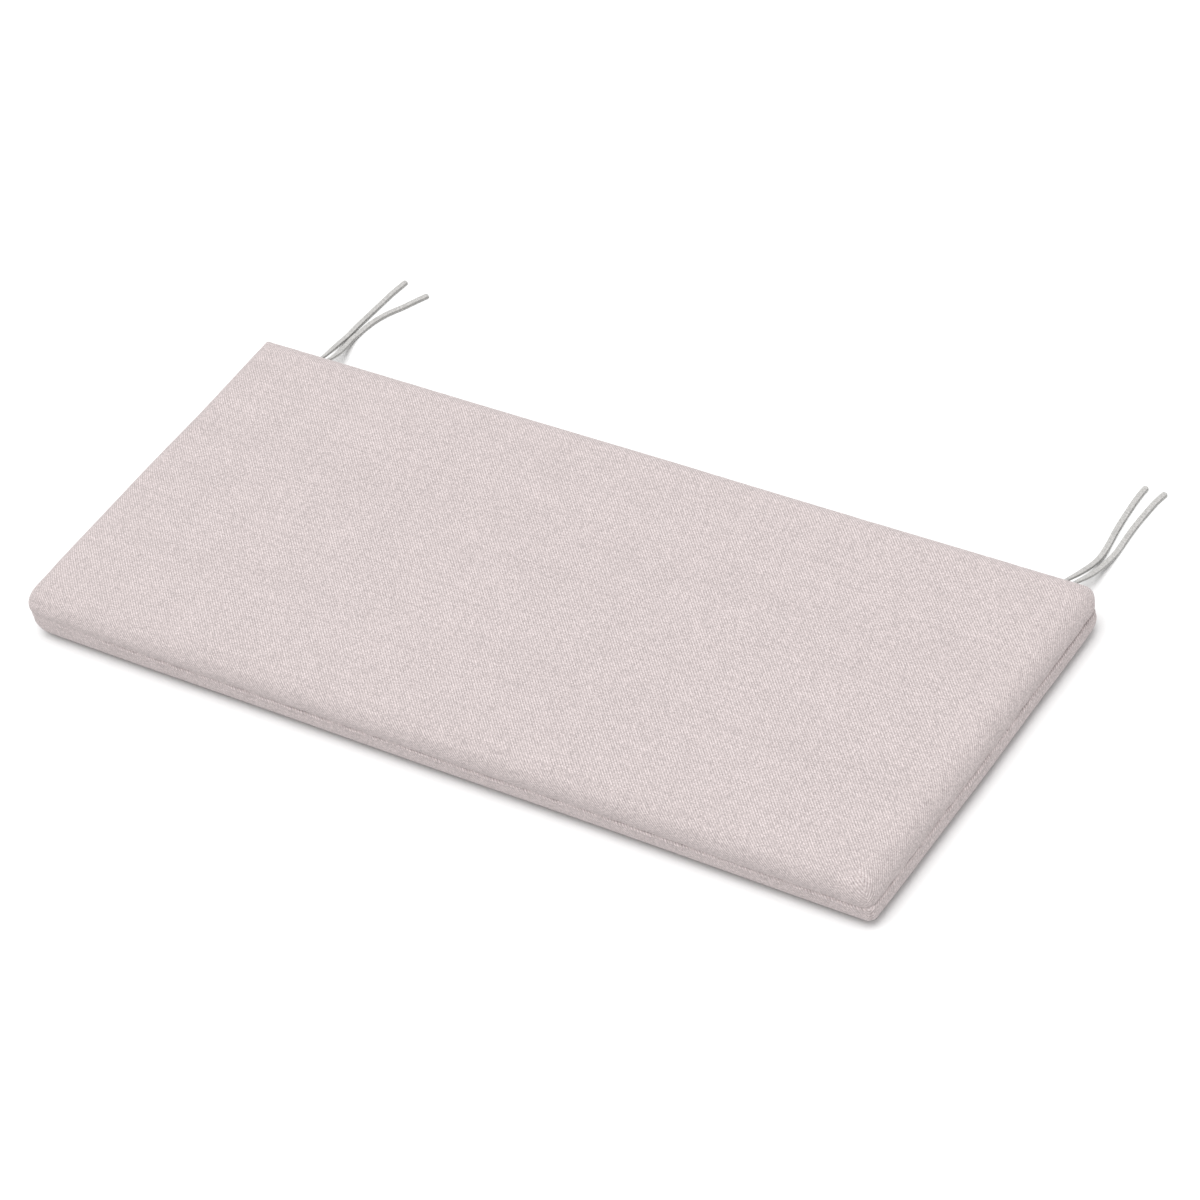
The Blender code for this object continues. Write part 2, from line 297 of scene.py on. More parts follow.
# Routes of the tails: place along X, distance behind the cushion's back, and height where the tail doesn't
# lie on the surface yet. The centre line of a lying tail is at the first height in the solids, where it is
# a round tube, and at the second one here, where it is flat.
TIE_REST_HEIGHT = 0.0033
TIE_LYING_HEIGHT = 0.0022
TIE_ROUTES = {
    "tie_left_a": (
        (-0.4812, 0.0, 0.0286), (-0.4818, 0.012, 0.0268), (-0.4835, 0.024, 0.0228),
        (-0.4888, 0.043, 0.0156), (-0.4938, 0.061, 0.0089), (-0.4956, 0.077, 0.0050),
        (-0.4967, 0.094), (-0.4958, 0.110), (-0.4945, 0.126), (-0.4932, 0.143), (-0.4917, 0.161),
        (-0.4890, 0.178), (-0.4880, 0.184),
    ),
    "tie_left_b": (
        (-0.4736, 0.0, 0.0286), (-0.4733, 0.012, 0.0266), (-0.4742, 0.024, 0.0222),
        (-0.4782, 0.042, 0.0148), (-0.4838, 0.061, 0.0086), (-0.4870, 0.076, 0.0052),
        (-0.4866, 0.090), (-0.4847, 0.103), (-0.4808, 0.117), (-0.4741, 0.131), (-0.4655, 0.144),
        (-0.4575, 0.158), (-0.4487, 0.173),
    ),
    "tie_right_a": (
        (0.4850, 0.0, 0.0286), (0.4851, 0.012, 0.0270), (0.4860, 0.021, 0.0243),
        (0.4884, 0.037, 0.0190), (0.4893, 0.059, 0.0112), (0.4884, 0.078, 0.0055),
        (0.4861, 0.098), (0.4833, 0.118), (0.4812, 0.139), (0.4800, 0.158), (0.4794, 0.176),
        (0.4800, 0.187), (0.4802, 0.191),
    ),
    "tie_right_b": (
        (0.4926, 0.0, 0.0286), (0.4938, 0.012, 0.0264), (0.4955, 0.021, 0.0237),
        (0.4978, 0.033, 0.0195), (0.4990, 0.047, 0.0143), (0.4992, 0.064, 0.0088),
        (0.4994, 0.078, 0.0056), (0.4993, 0.094), (0.4986, 0.110), (0.4980, 0.126), (0.4982, 0.142),
        (0.4990, 0.158), (0.5004, 0.175), (0.5026, 0.186), (0.5034, 0.190),
    ),
}


def blend(low, high, share):
    return low + (high - low) * share


# ---------------------------------------------------------------------------------------------------
# Camera, light and floor
# ---------------------------------------------------------------------------------------------------

def make_camera():
    """The photograph's camera: its centre line passes beside the origin, which shows at ORIGIN_PIXEL."""
    yaw, pitch, roll = (math.radians(angle) for angle in (CAMERA_YAW, CAMERA_PITCH, CAMERA_ROLL))
    ahead = Vector((math.sin(yaw) * math.cos(pitch), math.cos(yaw) * math.cos(pitch), -math.sin(pitch)))
    level = Vector((math.cos(yaw), -math.sin(yaw), 0.0))
    up = level.cross(ahead)
    right = math.cos(roll) * level + math.sin(roll) * up
    above = -math.sin(roll) * level + math.cos(roll) * up

    middle = PICTURE_PIXELS / 2
    metres_per_pixel = CAMERA_DISTANCE / FOCAL_PIXELS
    place = -CAMERA_DISTANCE * ahead
    place -= (ORIGIN_PIXEL[0] - middle) * metres_per_pixel * right
    place += (ORIGIN_PIXEL[1] - middle) * metres_per_pixel * above

    data = bpy.data.cameras.new("camera")
    data.sensor_width = SENSOR_MM
    data.lens = SENSOR_MM * FOCAL_PIXELS / PICTURE_PIXELS
    data.clip_start, data.clip_end = CAMERA_CLIP
    camera = bpy.data.objects.new("camera", data)
    turn = Matrix((right, above, -ahead)).transposed()
    camera.matrix_world = Matrix.Translation(place) @ turn.to_4x4()
    bpy.context.scene.collection.objects.link(camera)
    bpy.context.scene.camera = camera


def make_light():
    world = bpy.data.worlds.new("studio")
    world.use_nodes = True
    background = world.node_tree.nodes["Background"]
    background.inputs["Color"].default_value = (*DOME_COLOUR, 1.0)
    background.inputs["Strength"].default_value = DOME_STRENGTH
    bpy.context.scene.world = world

    key = bpy.data.lights.new("key", "SUN")
    key.energy = KEY_STRENGTH
    key.angle = math.radians(KEY_ANGLE)
    lamp = bpy.data.objects.new("key", key)
    lamp.rotation_euler = Vector(KEY_DIRECTION).to_track_quat("Z", "Y").to_euler()
    bpy.context.scene.collection.objects.link(lamp)
    bpy.context.scene.view_settings.view_transform = "Standard"


def make_floor():
    half = FLOOR_SIZE / 2
    mesh = bpy.data.meshes.new("floor")
    mesh.from_pydata([(-half, -half, 0), (half, -half, 0), (half, half, 0), (-half, half, 0)], [],
                     [(0, 1, 2, 3)])
    material = bpy.data.materials.new("floor")
    material.use_nodes = True
    shader = material.node_tree.nodes["Principled BSDF"]
    shader.inputs["Base Color"].default_value = (*FLOOR_COLOUR, 1.0)
    shader.inputs["Roughness"].default_value = 1.0
    shader.inputs["Specular IOR Level"].default_value = 0.0
    mesh.materials.append(material)
    floor = bpy.data.objects.new("floor", mesh)
    bpy.context.scene.collection.objects.link(floor)


# ---------------------------------------------------------------------------------------------------
# Smooth rows of numbers
# ---------------------------------------------------------------------------------------------------

def smooth_rows(rows):
    """Points of a smooth curve through rows of numbers (a Catmull-Rom curve), CURVE_STEPS to each row."""
    rows = np.asarray(rows, float)
    guide = np.vstack((2 * rows[0] - rows[1], rows, 2 * rows[-1] - rows[-2]))
    share = (np.arange(CURVE_STEPS) / CURVE_STEPS)[:, None]
    pieces = []
    for a, b, c, d in zip(guide, guide[1:], guide[2:], guide[3:]):
        pieces.append(0.5 * (2 * b + (c - a) * share + (2 * a - 5 * b + 4 * c - d) * share ** 2
                             + (3 * b - 3 * c + d - a) * share ** 3))
    return np.vstack((*pieces, rows[-1]))


def travelled(points):
    """Distance along a line of points to each of them."""
    return np.concatenate(([0.0], np.cumsum(np.linalg.norm(np.diff(points, axis=0), axis=1))))


def rows_at(dense, distances, wanted):
    """Rows read from a dense line at the wanted distances along it."""
    return np.column_stack([np.interp(wanted, distances, column) for column in dense.T])


# ---------------------------------------------------------------------------------------------------
# Form of the cushion
# ---------------------------------------------------------------------------------------------------

def side_section():
    """Rows of the side section: height, inset, share of the upper shell, share of the crown's rise."""
    turns = [step / SECTION_STEPS * math.pi / 2 for step in range(SECTION_STEPS + 1)]
    rows = [(LOWER_ROUND_HEIGHT * (1 - math.cos(turn)), CONTACT_INSET * (1 - math.sin(turn)), 0.0, 0.0)
            for turn in turns]
    rows += [(*row, 0.0) for row in SEAM_ROWS]
    rise = EDGE_HEIGHT - EQUATOR_HEIGHT
    rows += [(EQUATOR_HEIGHT + rise * math.sin(turn), EQUATOR_INSET + EDGE_ROUND * (1 - math.cos(turn)),
              1.0, (turn / turns[-1]) ** 2) for turn in turns]
    return rows


def side_swell(side, along, upper):
    """How far a side stands out at a share of its length, between the lower and the upper shell."""
    swell = 0.0
    for half_waves, low, high in zip(SIDE_HALF_WAVES, side["lower"], side["upper"]):
        swell += blend(low, high, upper) * np.sin(half_waves * math.pi * along)
    return swell


def ring_outline(inset, upper):
    """One ring, anticlockwise from the start of the front left corner: rounded corners, uneven sides.

    The quarter turn of every second corner runs the other way, so that the ring goes on anticlockwise.
    """
    half = np.array((CUSHION_WIDTH, CUSHION_DEPTH)) / 2 - inset
    arcs = []
    quarter = np.linspace(0, math.pi / 2, CORNER_STEPS + 1)
    for index, corner in enumerate(CORNERS):
        row = dict(zip(CORNER_COLUMNS, corner))
        radius = blend(row["lower_radius"], row["upper_radius"], upper) - CORNER_SHRINK * inset
        lean = upper * row["upper_lean"]
        radii = max(radius, SMALLEST_CORNER) * np.array((1 - lean, 1 + lean))
        power = 2 / blend(2, row["upper_power"], upper)
        reach = np.column_stack((np.cos(quarter) ** power, np.sin(quarter) ** power))
        if index % 2 == 1:
            reach = reach[:, ::-1]
        arcs.append((row["side_x"], row["side_y"]) * (half - radii + radii * reach))
    outline = []
    for index, arc in enumerate(arcs):
        start, end = arc[-1], arcs[(index + 1) % len(arcs)][0]
        steps = SIDE_STEPS[index % 2]
        along = np.arange(1, steps)[:, None] / steps
        swell = side_swell(SIDE_SWELLS[index], along, upper)
        outline += [arc, blend(start, end, along) + OUTWARD[index] * swell]
    return np.vstack(outline)


def crown_height(x, y):
    """Rise of the seat face: highest in the middle, nothing at the outline, a little uneven."""
    across = 1 - np.minimum(np.abs(2 * x / CUSHION_WIDTH), 1) ** CROWN_POWER
    deep = 1 - np.minimum(np.abs(2 * y / CUSHION_DEPTH), 1) ** CROWN_POWER
    rise = CROWN_RISE
    for swell in TOP_SWELLS:
        row = dict(zip(TOP_SWELL_COLUMNS, swell))
        turn = 2 * math.pi * (row["waves_x"] * x / CUSHION_WIDTH + row["waves_y"] * y / CUSHION_DEPTH)
        rise = rise + row["height"] * np.sin(turn + row["phase"])
    return rise * across * deep


def seam_rise(x, y, height):
    """How far a ring stands above its section's height: most at the seam, by the front left corner."""
    from_right = np.clip(0.5 - x / CUSHION_WIDTH, 0, 1)
    from_back = np.clip(0.5 - y / CUSHION_DEPTH, 0, 1)
    near = max(1 - (abs(height - SEAM_HEIGHT) / SEAM_RISE_REACH) ** 2, 0)
    return SEAM_RISE * from_right ** SEAM_RISE_POWER * from_back * near


def ring_sections(spacing, spacing_at_seam):
    """Section rows from the surface up, closer together by the seam.

    Gives the rows, how far along the section each one is, and how far the seam is.
    """
    dense = smooth_rows(side_section())
    distances = travelled(dense[:, :2])
    seam = float(np.interp(SEAM_HEIGHT, dense[:, 0], distances))
    wanted = [seam]
    for way, end in ((-1, 0.0), (1, distances[-1])):
        side = []
        place = seam
        while abs(end - place) > spacing:
            share = min(abs(place - seam) / SEAM_ZONE, 1.0)
            place += way * blend(spacing_at_seam, spacing, share ** SEAM_ZONE_POWER)
            side.append(place)
        side[-1] = end
        wanted = side[::-1] + wanted if way < 0 else wanted + side
    wanted = np.array(wanted)
    return rows_at(dense, distances, wanted), wanted, seam


def border_places(columns, rows):
    """Grid places along the border, anticlockwise from the front left corner."""
    places = [(column, 0) for column in range(columns)]
    places += [(columns, row) for row in range(rows)]
    places += [(column, rows) for column in range(columns, 0, -1)]
    places += [(0, row) for row in range(rows, 0, -1)]
    return places


def filled_grid(ring):
    """A flat grid inside every second point of a ring (a Coons patch), and each border point's place."""
    columns, rows = ((steps + CORNER_STEPS) // 2 for steps in SIDE_STEPS)
    places = border_places(columns, rows)
    order = (2 * np.arange(len(places)) + CORNER_STEPS // 2) % len(ring)
    grid = np.zeros((columns + 1, rows + 1, 2))
    member = np.full((columns + 1, rows + 1), -1)
    for place, index in zip(places, order):
        grid[place] = ring[index]
        member[place] = index
    u = (np.arange(columns + 1) / columns)[:, None, None]
    v = (np.arange(rows + 1) / rows)[None, :, None]
    inside = blend(grid[:, :1], grid[:, -1:], v) + blend(grid[:1], grid[-1:], u)
    inside -= (1 - u) * (1 - v) * grid[:1, :1] + u * (1 - v) * grid[-1:, :1]
    inside -= (1 - u) * v * grid[:1, -1:] + u * v * grid[-1:, -1:]
    free = member < 0
    grid[free] = inside[free]
    return grid, member


class CoverForm:
    """Points of the filled cover: rings round its sides, and a grid that closes each end of them.

    Every second point of the first and of the last ring is on the border of a grid, and members gives
    its place in the ring, or -1 for the points inside the grid.
    """

    def __init__(self, spacing, spacing_at_seam):
        sections, distances, seam = ring_sections(spacing, spacing_at_seam)
        self.from_seam = distances - seam
        self.seam_ring = int(np.abs(self.from_seam).argmin())
        rings = []
        for height, inset, upper, crown in sections:
            outline = ring_outline(inset, upper)
            rise = crown * crown_height(*outline.T) + seam_rise(*outline.T, height)
            rings.append(np.column_stack((outline, height + rise)))
        self.rings = np.array(rings)
        top, self.members = filled_grid(self.rings[-1, :, :2])
        bottom, _ = filled_grid(self.rings[0, :, :2])
        self.top = np.dstack((top, EDGE_HEIGHT + crown_height(top[..., 0], top[..., 1])))
        self.bottom = np.dstack((bottom, np.zeros(bottom.shape[:2])))
        middle = (self.rings.min(axis=(0, 1)) + self.rings.max(axis=(0, 1))) / 2
        for points in (self.rings, self.top, self.bottom):
            points[..., :2] -= middle[:2]


def side_quads(rings, count):
    """Faces between neighbouring rings of count points, as rows of four point numbers."""
    ids = np.arange(rings * count).reshape(rings, count)
    lower, upper = ids[:-1], ids[1:]
    return np.stack((lower, np.roll(lower, -1, axis=1), np.roll(upper, -1, axis=1), upper), axis=-1)


def cell_corners(net):
    """Values at the four corners of each cell of a net, in the order of side_quads."""
    return np.stack((net[:-1, :-1], net[:-1, 1:], net[1:, 1:], net[1:, :-1]), axis=2)


def grid_ids(members, ring_start, ring_step, first_free):
    """Point numbers of a grid whose border belongs to a ring, and which of its points are its own."""
    free = members < 0
    ids = ring_start + members // ring_step
    ids[free] = first_free + np.arange(free.sum())
    return ids, free


def grid_polygons(ids, members, ring_start, count):
    """Faces of a grid, each border edge with the ring's point between its two ends."""
    around = ((0, 0), (1, 0), (1, 1), (0, 1))
    polygons = []
    for column in range(ids.shape[0] - 1):
        for row in range(ids.shape[1] - 1):
            places = [(column + x, row + y) for x, y in around]
            polygon = []
            for place, after in zip(places, places[1:] + places[:1]):
                polygon.append(int(ids[place]))
                on_border = members[place] >= 0 and members[after] >= 0
                if on_border and (members[after] - members[place]) % count == 2:
                    polygon.append(ring_start + int(members[place] + 1) % count)
            polygons.append(polygon)
    return polygons


def make_object(name, points, faces, corner_values=None):
    """A smooth mesh object. corner_values are the places of its face corners in its weave."""
    mesh = bpy.data.meshes.new(name)
    mesh.from_pydata(np.asarray(points).tolist(), [], faces)
    mesh.shade_smooth()
    if corner_values is not None:
        weave = mesh.attributes.new("weave", "FLOAT_VECTOR", "CORNER")
        weave.data.foreach_set("vector", np.ascontiguousarray(corner_values, np.float32).ravel())
    item = bpy.data.objects.new(name, mesh)
    bpy.context.scene.collection.objects.link(item)
    return item


# ---------------------------------------------------------------------------------------------------
# Filling the upper shell
# ---------------------------------------------------------------------------------------------------

def evened(move, edges):
    """Movements averaged with those of their neighbours, which takes out folds as fine as the mesh."""
    here = np.concatenate((edges[:, 0], edges[:, 1]))
    beside = np.concatenate((edges[:, 1], edges[:, 0]))
    for _ in range(CLOTH_EVENING_PASSES):
        total = move.copy()
        np.add.at(total, here, move[beside])
        move = total / (1 + np.bincount(here))[:, None]
    return move


def hold_with_foam(shell, points, seam_points):
    """Give the shell its pin group: the first points, on the seam, are fixed, and foam holds the others."""
    to_outline = np.minimum(CUSHION_WIDTH / 2 - np.abs(points[:, 0]),
                            CUSHION_DEPTH / 2 - np.abs(points[:, 1]))
    share = np.clip(to_outline / FOAM_HOLD_REACH, 0, 1)
    hold = blend(FOAM_HOLD_AT_EDGE, FOAM_HOLD_ON_TOP, share)
    hold[:seam_points] = 1.0
    group = shell.vertex_groups.new(name="foam")
    for index, weight in enumerate(hold.tolist()):
        group.add([index], weight, "REPLACE")
    return group


def fill_with_cloth(shell, group):
    """Points of the shell once its cloth is filled."""
    cloth = shell.modifiers.new("filling", "CLOTH")
    cloth.settings.vertex_group_mass = group.name
    cloth.settings.uniform_pressure_force = CLOTH_PRESSURE
    cloth.settings.use_pressure = True
    cloth.settings.shrink_min = -CLOTH_SLACK
    cloth.settings.mass = CLOTH_POINT_MASS
    cloth.settings.effector_weights.gravity = 0.0
    cloth.collision_settings.use_collision = False
    cloth.point_cache.frame_end = CLOTH_FRAMES
    for number in range(1, CLOTH_FRAMES + 1):
        bpy.context.scene.frame_set(number)
    filled = shell.evaluated_get(bpy.context.evaluated_depsgraph_get()).to_mesh()
    points = np.empty(3 * len(filled.vertices))
    filled.vertices.foreach_get("co", points)
    return points.reshape(-1, 3)


def filled_shell():
    """How far the slack cloth of the upper shell moves when it is filled.

    Gives the distances of its rings from the seam, the movement of every second point of each ring,
    and the movement of the seat face's grid.
    """
    form = CoverForm(CLOTH_RING_SPACING, CLOTH_RING_SPACING)
    rings = form.rings[form.seam_ring:, ::2]
    count = rings.shape[1]
    ids, free = grid_ids(form.members, (len(rings) - 1) * count, 2, len(rings) * count)
    start = np.vstack((rings.reshape(-1, 3), form.top[free]))
    faces = side_quads(len(rings), count).reshape(-1, 4).tolist()
    cells = np.stack((ids[:-1, :-1], ids[1:, :-1], ids[1:, 1:], ids[:-1, 1:]), axis=-1)
    faces += cells.reshape(-1, 4).tolist()
    shell = make_object("filling_shell", start, faces)
    end = fill_with_cloth(shell, hold_with_foam(shell, start, count))
    edges = np.empty(2 * len(shell.data.edges), np.int32)
    shell.data.edges.foreach_get("vertices", edges)
    bpy.data.objects.remove(shell, do_unlink=True)
    bpy.context.scene.frame_set(1)

    move = evened(end - start, edges.reshape(-1, 2))
    move[:count] = 0.0
    length = np.linalg.norm(move, axis=1, keepdims=True)
    move *= CLOTH_REACH * np.tanh(length / CLOTH_REACH) / np.maximum(length, SMALLEST_LENGTH)
    ring_move = move[:len(rings) * count].reshape(-1, count, 3)
    return form.from_seam[form.seam_ring:], ring_move, move[ids]


def fill_upper_shell(form):
    """Move the upper shell of the cover as its filled cloth does."""
    distances, ring_move, top_move = filled_shell()
    upper = form.from_seam[form.seam_ring:]
    place = np.interp(upper, distances, np.arange(len(distances)))
    below = np.minimum(place.astype(int), len(distances) - 2)
    share = (place - below)[:, None, None]
    move = blend(ring_move[below], ring_move[below + 1], share)
    between = (move + np.roll(move, -1, axis=1)) / 2
    move = np.stack((move, between), axis=2).reshape(len(upper), -1, 3)
    form.rings[form.seam_ring:] += move
    form.top += top_move


# ---------------------------------------------------------------------------------------------------
# Seam, puckers and creases
# ---------------------------------------------------------------------------------------------------

def bell(value, half_width):
    """1 where the value is 0, and falling off smoothly on both sides."""
    return np.exp(-(value / half_width) ** 2)


def ring_normals(rings):
    """Outward directions at the points of the rings."""
    along = np.roll(rings, -1, axis=1) - np.roll(rings, 1, axis=1)
    up = np.gradient(rings, axis=0)
    normals = np.cross(along, up)
    return normals / np.linalg.norm(normals, axis=2, keepdims=True)


def corner_middles():
    """Place in a ring of the middle of each corner."""
    lengths = [CORNER_STEPS + SIDE_STEPS[index % 2] for index in range(len(CORNERS))]
    return np.concatenate(([0], np.cumsum(lengths)[:-1])) + CORNER_STEPS // 2


class Seam:
    """The closed line of the seam, with distances measured round the cushion along it."""

    def __init__(self, form):
        self.points = form.rings[form.seam_ring]
        steps = np.linalg.norm(np.roll(self.points, -1, axis=0) - self.points, axis=1)
        self.around = np.concatenate(([0.0], np.cumsum(steps)[:-1]))
        self.whole = steps.sum()
        self.corners = self.around[corner_middles()]

    def beside(self, place):
        """Signed distance of each point of the seam from a place on it."""
        return (self.around[None, :] - place + self.whole / 2) % self.whole - self.whole / 2

    def on_back(self, x):
        """The place on the back of the cushion that is nearest to a place along X."""
        behind = self.points[:, 1] > 0
        return self.around[np.where(behind, np.abs(self.points[:, 0] - x), 1).argmin()]


def groove_and_lip(seam, height, chance):
    """How far the seam's groove, its lip and its folds at the corners stand out."""
    uneven = np.zeros(len(seam.around))
    for wavelength in UNEVEN_WAVELENGTHS:
        turn = 2 * math.pi * round(seam.whole / wavelength) * seam.around / seam.whole
        uneven += UNEVEN_WAVE_HEIGHT * np.sin(turn + chance.uniform(0, 2 * math.pi))
    pull = np.maximum(1 + PULL_UNEVENNESS * uneven, SMALLEST_PULL)
    lip = 1 + LIP_UNEVENNESS * uneven
    fill = 0.0
    for corner, corner_seam in zip(seam.corners, CORNER_SEAMS):
        row = dict(zip(CORNER_SEAM_COLUMNS, corner_seam))
        near = bell(seam.beside(corner), row["reach"])
        pull = blend(pull, row["pull"], near)
        lip = blend(lip, row["lip"], near)
        fill = fill + row["fill"] * near
    push = fill * bell(height, FOLD_HALF_WIDTH) - SEAM_DEPTH * pull * bell(height, SEAM_HALF_WIDTH)
    return push + LIP_SWELL * lip * bell(height + LIP_BELOW_SEAM, LIP_HALF_WIDTH)


def press_puckers(push, seam, height, chance):
    place = 0.0
    while place < seam.whole - PUCKER_SPACING[0]:
        place += chance.uniform(*PUCKER_SPACING)
        depth = chance.uniform(*PUCKER_DEPTH)
        length = chance.uniform(*PUCKER_LENGTH)
        slant = chance.uniform(*PUCKER_SLANT)
        centre = chance.uniform(*PUCKER_RISE) * PUCKER_REACH
        near = bell(seam.beside(place) - slant * height, length)
        push -= depth * near * bell(height - centre, PUCKER_REACH)


def press_tucks(push, seam, height):
    below = np.clip(-height / TUCK_BELOW_SEAM, 0, 1)
    fade = np.sin(math.pi * below ** TUCK_FADE_POWER)
    for corner in seam.corners:
        push -= TUCK_DEPTH * bell(seam.beside(corner), TUCK_HALF_WIDTH) * fade


def press_creases(push, seam, height):
    for crease in CREASES:
        row = dict(zip(CREASE_COLUMNS, crease))
        x = seam.beside(seam.corners[row["corner"]]) - row["along"]
        y = height - row["above_seam"]
        run = y * math.cos(row["slant"]) + x * math.sin(row["slant"])
        across = x * math.cos(row["slant"]) - y * math.sin(row["slant"])
        push -= row["depth"] * bell(across, CREASE_HALF_WIDTH) * bell(run, row["length"] / 2)


def press_tie_slots(push, seam, height):
    for middle in TIE_MIDDLES:
        near = bell(seam.beside(seam.on_back(middle)), TIE_SLOT_HALF_LENGTH)
        push -= TIE_SLOT_DEPTH * near * bell(height, TIE_SLOT_HALF_HEIGHT)


def sew(form):
    """Move the rings out and in where the seam, puckers, tucks, creases and ties shape the fabric.

    height is each ring's distance above the seam, measured along the section.
    """
    seam = Seam(form)
    height = form.from_seam[:, None]
    chance = random.Random(RANDOM_SEED)
    push = groove_and_lip(seam, height, chance)
    press_puckers(push, seam, height, chance)
    press_tucks(push, seam, height)
    press_creases(push, seam, height)
    press_tie_slots(push, seam, height)
    form.rings += push[..., None] * ring_normals(form.rings)


# ---------------------------------------------------------------------------------------------------
# The cover and its place in the weave
# ---------------------------------------------------------------------------------------------------

def shell_weave(form, side, border_ring, facing, shift):
    """Places in the weave of one side, unrolled from a shell's flat face: rings, side points, three."""
    middles = corner_middles()
    steps = CORNER_STEPS + SIDE_STEPS[side % 2]
    places = (middles[side] + np.arange(steps + 1)) % form.rings.shape[1]
    rings = form.rings[:, places]
    border = rings[border_ring, :, :2]
    lengths = np.linalg.norm(np.diff(rings[..., :2], axis=1), axis=2)
    along = np.concatenate((np.zeros((len(rings), 1)), np.cumsum(lengths, axis=1)), axis=1)
    along -= along[:, steps // 2, None]
    down = np.concatenate((np.zeros((1, steps + 1)),
                           np.cumsum(np.linalg.norm(np.diff(rings, axis=0), axis=2), axis=0)))
    down = np.abs(down - down[border_ring])
    outward = OUTWARD[side]
    tangent = np.array((-outward[1], outward[0]))
    flat = border + (along - along[border_ring])[..., None] * tangent + down[..., None] * outward
    flat = flat * facing
    from_seam = np.broadcast_to(form.from_seam[:, None, None], (*flat.shape[:2], 1))
    return np.concatenate((flat + shift, from_seam), axis=2)


def side_weave(form):
    """Places in the weave of the corners of all the side faces, in the order of side_quads."""
    count = form.rings.shape[1]
    middles = corner_middles()
    corners = np.zeros((len(form.rings) - 1, count, 4, 3))
    for side in range(len(OUTWARD)):
        upper = shell_weave(form, side, -1, *UPPER_WEAVE)
        lower = shell_weave(form, side, 0, *LOWER_WEAVE)
        steps = upper.shape[1] - 1
        places = (middles[side] + np.arange(steps)) % count
        for shell, rows in ((lower, slice(0, form.seam_ring)), (upper, slice(form.seam_ring, None))):
            corners[rows, places] = cell_corners(shell)[rows]
    return corners.reshape(-1, 3)


def face_weave(flat, polygons, facing, shift, from_seam):
    """Places in the weave of the corners of the polygons of a shell's flat face."""
    places = flat[np.concatenate(polygons)]
    places[:, :2] = places[:, :2] * facing + shift
    places[:, 2] = from_seam
    return places


def make_cover():
    """The cover. Its places in the weave are those from before it is filled and sewn, as in real fabric."""
    form = CoverForm(RING_SPACING, RING_SPACING_AT_SEAM)
    count = form.rings.shape[1]
    ring_points = len(form.rings) * count
    top_start = ring_points - count
    top_ids, free = grid_ids(form.members, top_start, 1, ring_points)
    bottom_ids, _ = grid_ids(form.members, 0, 1, ring_points + int(free.sum()))
    flat = np.vstack((form.rings.reshape(-1, 3), form.top[free], form.bottom[free]))
    top = grid_polygons(top_ids, form.members, top_start, count)
    bottom = [polygon[::-1] for polygon in grid_polygons(bottom_ids, form.members, 0, count)]
    faces = side_quads(len(form.rings), count).reshape(-1, 4).tolist() + top + bottom
    weave = np.vstack((side_weave(form),
                       face_weave(flat, top, *UPPER_WEAVE, form.from_seam[-1]),
                       face_weave(flat, bottom, *LOWER_WEAVE, form.from_seam[0])))

    fill_upper_shell(form)
    sew(form)
    points = np.vstack((form.rings.reshape(-1, 3), form.top[free], form.bottom[free]))
    cover = make_object("cushion_cover", points, faces, weave)
    cover.data.materials.append(cover_fabric())
    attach(cover, "root")
    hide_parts("cushion")


# ---------------------------------------------------------------------------------------------------
# Ties
# ---------------------------------------------------------------------------------------------------

def tie_section(half_width, half_thickness):
    """Rounded section of a folded strip, from its sewn edge, which is drawn in, all the way round."""
    turn = np.linspace(0, 2 * math.pi, TIE_SIDES + 1)
    near_edge = bell(turn, TIE_EDGE_HALF_TURN) + bell(turn - 2 * math.pi, TIE_EDGE_HALF_TURN)
    drawn_in = TIE_EDGE_DEPTH * near_edge
    power = 2 / TIE_CORNER_POWER
    across = half_width * np.sign(np.cos(turn)) * np.abs(np.cos(turn)) ** power - drawn_in
    above = half_thickness * np.sign(np.sin(turn)) * np.abs(np.sin(turn)) ** power
    return across, above


def tie_path(rows):
    """Centre line of a tail from inside the seam to its end, with even steps between its rings.

    The route's heights are those of a round tube, so a tail comes to lie lower over its root's length.
    """
    guide = [(rows[0][0], CUSHION_DEPTH / 2 - TIE_ROOT_DEPTH, TIE_ROOT_HEIGHT)]
    for across, behind, *height in rows:
        z = height[0] if height else TIE_REST_HEIGHT
        sink = (TIE_REST_HEIGHT - TIE_LYING_HEIGHT) * min(max(behind / TIE_ROOT_LENGTH, 0), 1)
        guide.append((across, CUSHION_DEPTH / 2 + behind, z - sink))
    dense = smooth_rows(guide)
    distances = travelled(dense)
    count = TIE_PATH_STEPS * TIE_RINGS_PER_STEP
    return rows_at(dense, distances, np.linspace(0, distances[-1], count + 1))


def tie_rings(path, distances):
    """Sections of a tail along its path: narrower at its root, and rounded off at its blunt end."""
    tangents = np.gradient(path, axis=0)
    tangents /= np.linalg.norm(tangents, axis=1, keepdims=True)
    sideways = np.cross(tangents, (0, 0, 1))
    sideways /= np.linalg.norm(sideways, axis=1, keepdims=True)
    upward = np.cross(sideways, tangents)
    rings = []
    for centre, side, up, distance in zip(path, sideways, upward, distances):
        out = min(distance / TIE_ROOT_LENGTH, 1)
        out = out * out * (3 - 2 * out)
        width = blend(TIE_ROOT_WIDTH, TIE_WIDTH, out)
        thickness = blend(TIE_ROOT_THICKNESS, TIE_THICKNESS, out)
        to_end = (distances[-1] - distance) / TIE_END_LENGTH
        blunt = 1 - TIE_END_TAPER * (1 - min(to_end, 1)) ** 2
        across, above = tie_section(blunt * width / 2, blunt * thickness / 2)
        rings.append(centre + across[:, None] * side + above[:, None] * up)
    return np.array(rings)


